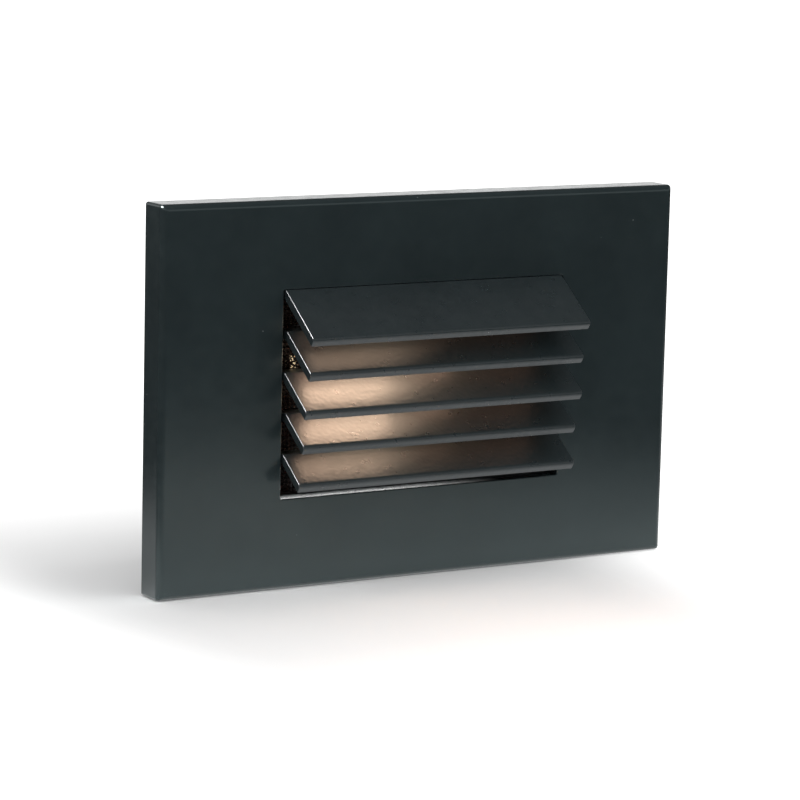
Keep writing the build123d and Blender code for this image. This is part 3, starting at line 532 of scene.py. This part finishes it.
def led_phosphor(name):
    """Phosphor under a clear dome, lit."""
    phosphor = ((0.85, 0.55, 0.12), (0.92, 0.66, 0.20))
    light = ((1.0, 0.62, 0.30), (1.0, 0.74, 0.46))
    skin = Shading(name)
    grit = skin.noise(0.3 * MM)
    skin.colour(skin.tint(grit, *phosphor))
    skin.lit(skin.tint(grit, *light))
    skin.set(Roughness=0.25, Emission_Strength=6.0)
    skin.bump(grit, 0.01 * MM, 0.4)
    return skin.material


# The lens's own colour and the colour that it shines in, each from a dark facet to a bright one
LENS_SMOKE = ((0.005, 0.002, 0.002), (0.012, 0.005, 0.004))
LENS_LIGHT = ((1.0, 0.60, 0.28), (1.0, 0.80, 0.50))
# Where the lens is lit from behind, and the few prisms at its end that catch a stray ray,
# painted there as glints: centre, half sizes where the soft edge starts and ends, and level
LENS_GLOW_CENTRE = Vector((-4.0, 0.0, 0.5)) * MM
LENS_GLOW_HALF_X = (16.0 * MM, 23.0 * MM)
LENS_GLOW_HALF_Z = (11.0 * MM, 17.0 * MM)
LENS_GLOW_LEVEL = 2.2
STRAY_CENTRE = Vector((-29.6, 0.0, 6.4)) * MM
STRAY_HALF_X = (0.5 * MM, 1.1 * MM)
STRAY_HALF_Z = (1.0 * MM, 1.9 * MM)
STRAY_LEVEL = 1.1
STRAY_CELL = 0.5 * MM


def lens(name):
    """Prismatic lens: smoky brown where it is dark, warm in front of the light engine."""
    skin = Shading(name)
    x, _, z = skin.parts(skin.place)

    def patch(centre, half_x, half_z):
        """1 inside a soft-edged rectangle, 0 outside."""
        across = skin.span(skin.apart(x, centre.x), *half_x, 1.0, 0.0, smooth=True)
        along = skin.span(skin.apart(z, centre.z), *half_z, 1.0, 0.0, smooth=True)
        return skin.times(across, along)

    facet = skin.span(skin.noise(1.1 * MM, detail=1.0), 0.42, 0.62, 0.25, 1.0)
    glow = skin.times(patch(LENS_GLOW_CENTRE, LENS_GLOW_HALF_X, LENS_GLOW_HALF_Z), facet)
    # Painted glints: warm emission on a few prisms at the lens's left end
    glint_fleck = skin.span(skin.cells(STRAY_CELL), 0.20, 0.34, 1.0, 0.0)
    stray = skin.times(patch(STRAY_CENTRE, STRAY_HALF_X, STRAY_HALF_Z), glint_fleck)
    level = skin.add(skin.times(glow, LENS_GLOW_LEVEL), skin.times(stray, STRAY_LEVEL))
    skin.colour(skin.tint(facet, *LENS_SMOKE))
    skin.lit(skin.tint(facet, *LENS_LIGHT))
    skin.join(level, skin.shader.inputs["Emission Strength"])
    skin.set(Roughness=0.16, IOR=1.49)
    skin.bump(skin.noise(0.8 * MM, detail=1.0), 0.02 * MM, 0.4)
    return skin.material


# The functions' names are those of the record's material slots
FINISHES = (
    painted_casting, painted_blades, painted_frame, foam, gasket_rubber, lens, cast_aluminium,
    cover_sheet, reflector_white, led_board, led_phosphor, thermal_pad, driver_board,
    transformer, capacitor_sleeve, black_epoxy, ferrite, terminal_plastic, connector_plastic,
    wire_red, wire_black, grommet_rubber, zinc_screws, black_screws, zinc_sheet, green_screw,
)


def dress_nodes(finishes):
    """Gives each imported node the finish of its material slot."""
    for part in frame["record"]["subparts"]:
        solid = frame["nodes"][part["node"]]
        for slot in solid.material_slots:
            slot.material = finishes[part["material_slot"]]


# ---------------------------------------------------------------- lens with its prisms

PRISM_PITCH = 1.0 * MM
PRISM_DEPTH = 0.4 * MM
PRISM_MARGIN = 1.4 * MM
PRISM_COLUMNS = int((lens_high.x - lens_low.x - 2 * PRISM_MARGIN) / PRISM_PITCH)
PRISM_ROWS = int((lens_high.z - lens_low.z - 2 * PRISM_MARGIN) / PRISM_PITCH)
PRISMS_LEFT = -PRISM_COLUMNS * PRISM_PITCH / 2
PRISMS_BOTTOM = (lens_low.z + lens_high.z) / 2 - PRISM_ROWS * PRISM_PITCH / 2
PRISMS_X = (PRISMS_LEFT, PRISMS_LEFT + PRISM_COLUMNS * PRISM_PITCH)
PRISMS_Z = (PRISMS_BOTTOM, PRISMS_BOTTOM + PRISM_ROWS * PRISM_PITCH)
# Two points nearer to each other than this are in the same place
SAME_PLACE = 1e-7


def add_prisms(mesh):
    """Adds the grid of small pyramids, cut into the room side; returns its outline's points."""

    def add_point(column, row, depth=0.0):
        x = PRISMS_LEFT + column * PRISM_PITCH
        z = PRISMS_BOTTOM + row * PRISM_PITCH
        return mesh.verts.new((x, lens_low.y + depth, z))

    grid = [
        [add_point(column, row) for row in range(PRISM_ROWS + 1)]
        for column in range(PRISM_COLUMNS + 1)
    ]
    for column in range(PRISM_COLUMNS):
        for row in range(PRISM_ROWS):
            ring = (
                grid[column][row], grid[column + 1][row],
                grid[column + 1][row + 1], grid[column][row + 1],
            )
            peak = add_point(column + 0.5, row + 0.5, PRISM_DEPTH)
            for corner in range(4):
                mesh.faces.new((ring[corner], ring[(corner + 1) % 4], peak))
    return (
        grid[0] + [line[-1] for line in grid[1:]]
        + grid[-1][-2::-1] + [line[0] for line in grid[-2:0:-1]]
    )


def carried_out(value, inner, outer):
    """A number on one of two inner sides goes to the outer side beyond it, any other stays."""
    for near, far in zip(inner, outer):
        if abs(value - near) < SAME_PLACE:
            return far
    return value


def add_slab(mesh, outline):
    """Adds the plain rim round the prisms' outline, and the slab's edges and back."""

    def add_rim_point(vert, y):
        x = carried_out(vert.co.x, PRISMS_X, (lens_low.x, lens_high.x))
        z = carried_out(vert.co.z, PRISMS_Z, (lens_low.z, lens_high.z))
        return mesh.verts.new((x, y, z))

    front_rim = [add_rim_point(vert, lens_low.y) for vert in outline]
    back_rim = [add_rim_point(vert, lens_high.y) for vert in outline]
    for index in range(len(outline)):
        after = (index + 1) % len(outline)
        mesh.faces.new((outline[index], outline[after], front_rim[after], front_rim[index]))
        mesh.faces.new((front_rim[index], front_rim[after], back_rim[after], back_rim[index]))
    mesh.faces.new(back_rim)


def add_lens(material):
    """Lens slab whose room side carries a grid of small pyramids inside a plain rim."""
    mesh = bmesh.new()
    add_slab(mesh, add_prisms(mesh))
    bmesh.ops.recalc_face_normals(mesh, faces=mesh.faces)
    data = bpy.data.meshes.new("prismatic_lens")
    mesh.to_mesh(data)
    mesh.free()
    data.materials.append(material)
    piece = put_in_scene("prismatic_lens", data)
    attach(piece, "light_unit")
    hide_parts("lens")


# ---------------------------------------------------------------- floor

FLOOR_HALF = 2.5
FLOOR_GAP = 0.1 * MM
FLOOR_WHITE = (0.86, 0.86, 0.86)
# Lift of the floor where it is seen, near the faceplate and far from it; distances count
# more beside the faceplate than in front of it or behind it. The lift is painted light: small near
# the faceplate, a painted shade there on top of the floor's real shadow, and large far off.
FLOOR_LIFT = (0.04, 0.60)
FLOOR_LIFT_REACH = (20.0 * MM, 190.0 * MM)
SIDE_STRETCH = 4.0
SIDE_SHIFT = 20.0 * MM

# Pools of light painted on the floor, as the gloss of the paint shows them: centre and radius
PAINTED_POOLS = (
    (Vector((-2.0, -10.0, 0.0)) * MM, 147.0 * MM),
    (Vector((260.0, -50.0, 0.0)) * MM, 90.0 * MM),
)
POOL_EDGE = 45.0 * MM
POOL_LEVEL = 0.88
POOL_DARK = 0.03
# Painted light that lifts the pools: in front of the wall plane, behind it, and along the object's
# foot
POOL_LIFT_FRONT = 0.33
POOL_LIFT_BACK = 0.0
POOL_LIFT_DEPTH = 30.0 * MM
POOL_LIFT_FOOT = 0.52
POOL_LIFT_LINE = -15.0 * MM
POOL_LIFT_REACH = (8.0 * MM, 30.0 * MM)


def painted_seen_lift(floor):
    """Painted light and shade: how much the floor is lifted to white where it is seen, less near the
    faceplate.
    """
    x, y, _ = floor.parts(floor.place)
    off_centre = floor.math("ABSOLUTE", floor.add(x, SIDE_SHIFT))
    outside = floor.larger(floor.math("SUBTRACT", off_centre, plate_high.x - SIDE_SHIFT), 0.0)
    beside = floor.times(outside, SIDE_STRETCH)
    from_plate = floor.math("SQRT", floor.add(floor.times(beside, beside), floor.times(y, y)))
    return floor.span(from_plate, *FLOOR_LIFT_REACH, *FLOOR_LIFT, smooth=True)


def painted_pool_paleness(floor):
    """Painted pools of light: how pale the floor is where the gloss of the paint shows it."""

    def lit(centre, radius):
        node = floor.nodes.new("ShaderNodeVectorMath")
        node.operation = "DISTANCE"
        floor.join(floor.place, node.inputs[0])
        node.inputs[1].default_value = centre
        edge = (radius - POOL_EDGE, radius + POOL_EDGE)
        return floor.span(node.outputs["Value"], *edge, POOL_LEVEL, POOL_DARK, smooth=True)

    return floor.larger(*(lit(centre, radius) for centre, radius in PAINTED_POOLS))


def painted_pool_lift(floor, painted_pool):
    """Painted light: how much the pools are lifted where the gloss of the paint shows them."""
    y = floor.axis("Y")
    foot = floor.span(floor.apart(y, POOL_LIFT_LINE), *POOL_LIFT_REACH, POOL_LIFT_FOOT, 0.0)
    depth = floor.span(y, 0.0, POOL_LIFT_DEPTH, POOL_LIFT_FRONT, POOL_LIFT_BACK)
    return floor.times(painted_pool, floor.add(foot, depth))


def floor_finish():
    """Pale floor: white where it is seen, with pools of light painted where the gloss of the paint
    shows it.
    """
    floor = Shading("pale_floor")
    ray = floor.rays()
    painted_pool = painted_pool_paleness(floor)
    seen = floor.larger(ray["Is Camera Ray"], ray["Is Transmission Ray"])
    seen_part = floor.times(seen, painted_seen_lift(floor))
    gloss_part = floor.times(ray["Is Glossy Ray"], painted_pool_lift(floor, painted_pool))
    glow = floor.nodes.new("ShaderNodeEmission")
    floor.join(floor.add(seen_part, gloss_part), glow.inputs["Strength"])
    matt = floor.nodes.new("ShaderNodeBsdfDiffuse")
    floor.join(floor.tint(ray["Is Glossy Ray"], FLOOR_WHITE, painted_pool), matt.inputs["Color"])
    pale = floor.nodes.new("ShaderNodeAddShader")
    floor.join(matt.outputs[0], pale.inputs[0])
    floor.join(glow.outputs[0], pale.inputs[1])
    floor.join(pale.outputs[0], floor.nodes["Material Output"].inputs["Surface"])
    floor.material.cycles.emission_sampling = "NONE"
    return floor.material


def add_floor():
    data = bpy.data.meshes.new("floor")
    corners = [
        (right * FLOOR_HALF, back * FLOOR_HALF, cad_low.z - FLOOR_GAP)
        for right, back in ((-1, -1), (1, -1), (1, 1), (-1, 1))
    ]
    data.from_pydata(corners, [], [(0, 1, 2, 3)])
    data.materials.append(floor_finish())
    piece = put_in_scene("floor", data)


# ---------------------------------------------------------------- world

# Soft light from all round, and what the gloss of the paint shows of the studio's walls:
# a pale band round the horizon, wider behind the object, under a dark ceiling. The band's
# edges are angles of elevation, in degrees, where each starts and ends.
AMBIENT = 0.80
BACKDROP_LEVEL = 1.0
CEILING_LEVEL = 0.12
BAND_TOP = (16.0, 26.0)
BAND_FOOT_FRONT = (3.0, 8.0)
BAND_FOOT_BACK = (-12.0, -6.0)
REAR_EDGE = (0.0, 0.3)


def sines(angles):
    """Sines of angles in degrees, which are the heights of directions at these elevations."""
    return [math.sin(math.radians(angle)) for angle in angles]


def add_world():
    """Plain studio: pale where it is seen, evenly bright for matt surfaces, banded in gloss."""
    world = bpy.data.worlds.new("studio")
    world.use_nodes = True
    world.cycles.sampling_method = "NONE"
    studio = Nodes(world.node_tree)
    back = studio.nodes["Background"]
    back.inputs["Color"].default_value = (*WHITE, 1.0)
    ray = studio.rays()
    _, depth, height = studio.parts(studio.nodes.new("ShaderNodeTexCoord").outputs["Generated"])
    below_top = studio.span(height, *sines(BAND_TOP), 1.0, 0.0, smooth=True)
    front = studio.span(height, *sines(BAND_FOOT_FRONT), smooth=True)
    behind = studio.span(height, *sines(BAND_FOOT_BACK), smooth=True)
    rear = studio.span(depth, *REAR_EDGE, smooth=True)
    band = studio.times(studio.larger(front, studio.times(behind, rear)), below_top)
    gloss = studio.span(band, 0.0, 1.0, CEILING_LEVEL, BACKDROP_LEVEL)
    seen = studio.larger(ray["Is Camera Ray"], ray["Is Transmission Ray"])
    matt = studio.span(seen, 0.0, 1.0, AMBIENT, BACKDROP_LEVEL)
    level = studio.mix("FLOAT", ray["Is Glossy Ray"], matt, gloss)
    studio.join(level, back.inputs["Strength"])
    bpy.context.scene.world = world


# ---------------------------------------------------------------- studio lamps

# A lamp's power for each square metre of its face and each unit of its level
POWER_PER_AREA = 4.0

# Overhead softbox that draws the bright lines along the rounded edges
SOFTBOX_CENTRE = Vector((-0.64, -0.04, 0.70))
SOFTBOX_SIZE = (0.50, 0.50)
SOFTBOX_LEVEL = 80.0
# The same softbox, weaker, for the bare metal, which would mirror the full level as plain white
METAL_SOFTBOX_LEVEL = 5.0
BARE_METAL = ("rear_housing", "rear_cover", "rear_cover_screws", "mounting_bracket", "housing_screws")
# Low panel behind the object, mirrored in the top of the faceplate
PANEL_CENTRE = Vector((0.70, 1.20, 0.16))
PANEL_SIZE = (2.2, 0.60)
PANEL_LEVEL = 0.34
# Soft key from the right, in front and above
KEY_DIRECTION = Vector((0.62, -0.25, 0.74))
KEY_ANGLE = math.radians(60.0)
KEY_LEVEL = 0.28


def place_lamp(name, data, towards):
    """Lamp that the camera doesn't see, turned towards a direction."""
    lamp = put_in_scene(name, data)
    lamp.rotation_euler = Vector(towards).to_track_quat("-Z", "Y").to_euler()
    lamp.visible_camera = False
    return lamp


def add_area(name, centre, size, level, towards, colour=WHITE, matt=True):
    """Rectangular lamp that shines at this level towards a direction; without matt, in gloss only."""
    data = bpy.data.lights.new(name, "AREA")
    data.shape = "RECTANGLE"
    data.size, data.size_y = size
    data.energy = level * POWER_PER_AREA * size[0] * size[1]
    data.color = colour
    lamp = place_lamp(name, data, towards)
    lamp.location = centre
    lamp.visible_diffuse = matt
    return lamp


def add_key():
    data = bpy.data.lights.new("key", "SUN")
    data.energy = KEY_LEVEL * math.pi
    data.angle = KEY_ANGLE
    lamp = place_lamp("key", data, -KEY_DIRECTION)
    lamp.visible_glossy = False


def link_lamp(lamp, nodes, state):
    """Let a lamp light only these nodes (INCLUDE), or everything else (EXCLUDE)."""
    linked = bpy.data.collections.new(f"{lamp.name}_nodes")
    for node in nodes:
        linked.objects.link(frame["nodes"][node])
    for entry in linked.collection_objects:
        entry.light_linking.link_state = state
    lamp.light_linking.receiver_collection = linked


def add_studio_lamps():
    for name, level, state in (
        ("softbox", SOFTBOX_LEVEL, "EXCLUDE"), ("metal_softbox", METAL_SOFTBOX_LEVEL, "INCLUDE"),
    ):
        lamp = add_area(name, SOFTBOX_CENTRE, SOFTBOX_SIZE, level, -SOFTBOX_CENTRE, matt=False)
        link_lamp(lamp, BARE_METAL, state)
    add_area("back_panel", PANEL_CENTRE, PANEL_SIZE, PANEL_LEVEL, -PANEL_CENTRE, matt=False)
    add_key()


# ---------------------------------------------------------------- light of the light engine

TO_ROOM = Vector((0.0, -1.0, 0.0))
UPHILL = Vector((0.0, math.cos(BLADE_ANGLE), math.sin(BLADE_ANGLE)))
BELOW_BLADE = Vector((0.0, math.sin(BLADE_ANGLE), -math.cos(BLADE_ANGLE)))

# Three lamps in the gap above each of blades 2 to 5, with their centre and width along X:
# a faint one over the whole width, one in the lit half, and a patch in front of the
# brightest diode. Each blade has its levels in that order.
GAP_LAMPS = (
    ("faint", 4.0 * MM, 60.0 * MM, (1.0, 0.55, 0.36)),
    ("wide", -7.0 * MM, 38.0 * MM, (1.0, 0.58, 0.39)),
    ("patch", -13.0 * MM, 20.0 * MM, (1.0, 0.68, 0.47)),
)
GAP_LEVELS = {
    2: (1.8, 3.0, 60.0),
    3: (4.4, 30.0, 150.0),
    4: (4.8, 22.0, 95.0),
    5: (4.8, 5.5, 75.0),
}
GAP_LAMP_RISE = 1.3 * MM
GAP_LAMP_MARGIN = 0.4 * MM
GAP_LAMP_SPREAD = math.radians(110.0)
# How far the lamps stand off the lens or the blade behind them
LAMP_OFFSET = 0.3 * MM

# The same light once more, as each blade's slope mirrors it under the nose of the blade above.
# The fade is measured from the lamp's left end, and comes later on its uphill side.
NOSE_LEVELS = {2: 2.4, 3: 8.0, 4: 6.3, 5: 3.2}
NOSE_COLOUR = (1.0, 0.68, 0.47)
NOSE_LAMP_X = (-29.5 * MM, 10.0 * MM)
NOSE_LAMP_REACH = (2.0 * MM, 7.0 * MM)
NOSE_FADE = (6.5 * MM, 29.5 * MM)
NOSE_FADE_DELAY = 8.0 * MM

# Lit foot of the lens, mirrored as two lines in the lower edge of the window. These lamps face
# the room, so their own X runs to the left, and their fade is measured from their right end.
SILL_LAMP_X = (-35.0 * MM, 35.0 * MM)
SILL_LAMP_ROWS = ((-21.16 * MM, -21.0 * MM), (-20.8 * MM, -20.6 * MM))
SILL_LAMP_LEVEL = 4.4
SILL_FADE = (47.0 * MM, 12.0 * MM)


def middle(pair):
    return sum(pair) / 2


def length(pair):
    return pair[1] - pair[0]


def fade_out(lamp, start, end, delay=0.0):
    """Let a lamp fade out from start to end of its own X, later by delay at its far Y end."""
    lamp.data.use_nodes = True
    shade = Nodes(lamp.data.node_tree)
    geometry = shade.nodes.new("ShaderNodeNewGeometry")
    across, along, _ = shade.parts(geometry.outputs["Parametric"])
    late = shade.times(along, delay)
    place = shade.math("SUBTRACT", shade.times(across, lamp.data.size), late)
    level = shade.span(place, start, end, 1.0, 0.0, smooth=True)
    shade.join(level, shade.nodes["Emission"].inputs["Strength"])


def add_gap_lamps():
    """Warm light that leaves the lens through the gaps between the blades."""
    for blade, levels in GAP_LEVELS.items():
        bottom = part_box(f"louver_slat_{blade}")[1].z + GAP_LAMP_RISE
        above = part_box(f"louver_slat_{blade - 1}")[1].z
        top = above - BLADE_THICKNESS - GAP_LAMP_MARGIN
        for (kind, x, width, colour), level in zip(GAP_LAMPS, levels):
            centre = Vector((x, lens_low.y - LAMP_OFFSET, (bottom + top) / 2))
            size = (width, top - bottom)
            lamp = add_area(f"glow_{kind}_{blade}", centre, size, level, TO_ROOM, colour)
            lamp.data.spread = GAP_LAMP_SPREAD
            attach(lamp, "light_unit")


def add_nose_lamps():
    """Warm light on the blades' slopes, from under the nose of the blade above each."""
    size = (length(NOSE_LAMP_X), length(NOSE_LAMP_REACH))
    for blade, level in NOSE_LEVELS.items():
        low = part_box(f"louver_slat_{blade - 1}")[0]
        edge = Vector((middle(NOSE_LAMP_X), low.y + BELOW_BLADE.y * BLADE_THICKNESS, low.z))
        centre = edge + UPHILL * middle(NOSE_LAMP_REACH) + BELOW_BLADE * LAMP_OFFSET
        name = f"glow_nose_{blade}"
        lamp = add_area(name, centre, size, level, BELOW_BLADE, NOSE_COLOUR, matt=False)
        fade_out(lamp, *NOSE_FADE, NOSE_FADE_DELAY)
        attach(lamp, "light_unit")


def add_sill_lamps():
    """Pale lines in the lower edge of the window."""
    for index, row in enumerate(SILL_LAMP_ROWS):
        size = (length(SILL_LAMP_X), length(row))
        centre = Vector((middle(SILL_LAMP_X), lens_low.y - LAMP_OFFSET, middle(row)))
        name = f"glow_sill_{index + 1}"
        lamp = add_area(name, centre, size, SILL_LAMP_LEVEL, TO_ROOM, matt=False)
        fade_out(lamp, *SILL_FADE)
        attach(lamp, "light_unit")


# ---------------------------------------------------------------- assembly

add_camera()
finishes = {make.__name__: make(make.__name__ + "_finish") for make in FINISHES}
dress_nodes(finishes)
add_lens(finishes["lens"])
add_floor()
add_world()
add_studio_lamps()
add_gap_lamps()
add_nose_lamps()
add_sill_lamps()
bpy.context.scene.view_settings.view_transform = "Standard"
